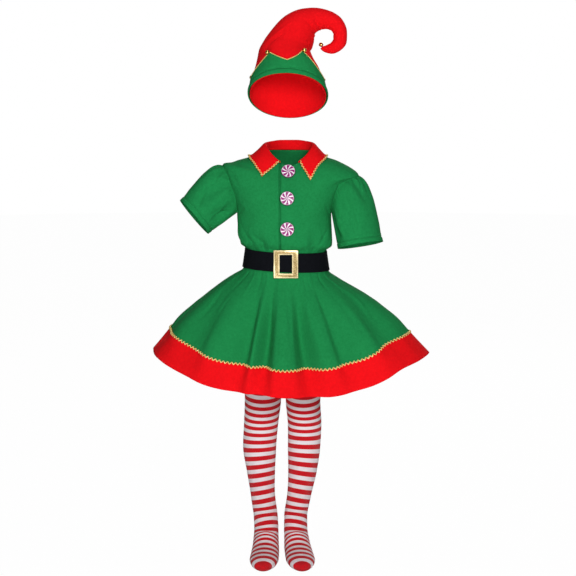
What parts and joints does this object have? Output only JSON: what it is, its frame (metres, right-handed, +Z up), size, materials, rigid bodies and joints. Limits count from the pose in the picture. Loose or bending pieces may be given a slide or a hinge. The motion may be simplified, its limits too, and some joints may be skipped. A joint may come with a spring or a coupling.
{
  "type": "elf costume",
  "caption": "Child's elf costume: curled felt hat, belted dress with collar, puffed sleeves and flared skirt, and striped over-the-knee stockings.",
  "frame": {"origin": "middle of the neck opening at the height of the shoulders, where the wearer carries the dress", "axes": "+Z up, -Y to the front of the costume, +X to the wearer's left"},
  "size_m": [0.6492, 0.4756, 1.301],
  "materials": {
    "green_felt": "short napped felt cloth, matt with a soft sheen",
    "red_felt": "short napped felt cloth, matt with a soft sheen",
    "gold_trim": "narrow metallic gold braid",
    "gold_bell": "polished small bells",
    "gold_buckle": "gold glitter on a moulded frame",
    "black_belt": "ribbed black webbing, matt",
    "button": "white with magenta swirl, glossy",
    "striped_knit": "fine rib knit in red and white stripes"
  },
  "bodies": {
    "root": {"hat_crown_front": "red_felt", "hat_crown_back": "red_felt", "hat_cuff": "green_felt", "hat_piping": "gold_trim", "hat_bell_tip": "gold_bell", "collar": "red_felt", "collar_braid": "gold_trim", "bodice_front_right": "green_felt", "bodice_front_left": "green_felt", "bodice_back": "green_felt", "sleeve_right": "green_felt", "sleeve_left": "green_felt", "button_top": "button", "button_middle": "button", "button_bottom": "button", "belt": "black_belt", "belt_buckle": "gold_buckle", "skirt_front": "green_felt", "skirt_back": "green_felt", "hem_band_front": "red_felt", "hem_band_back": "red_felt", "skirt_braid": "gold_trim", "stocking_right": "striped_knit", "stocking_left": "striped_knit", "hat_bell_1": "gold_bell", "hat_bell_2": "gold_bell", "hat_bell_3": "gold_bell", "hat_bell_4": "gold_bell", "hat_bell_5": "gold_bell"}
  },
  "joints": []
}
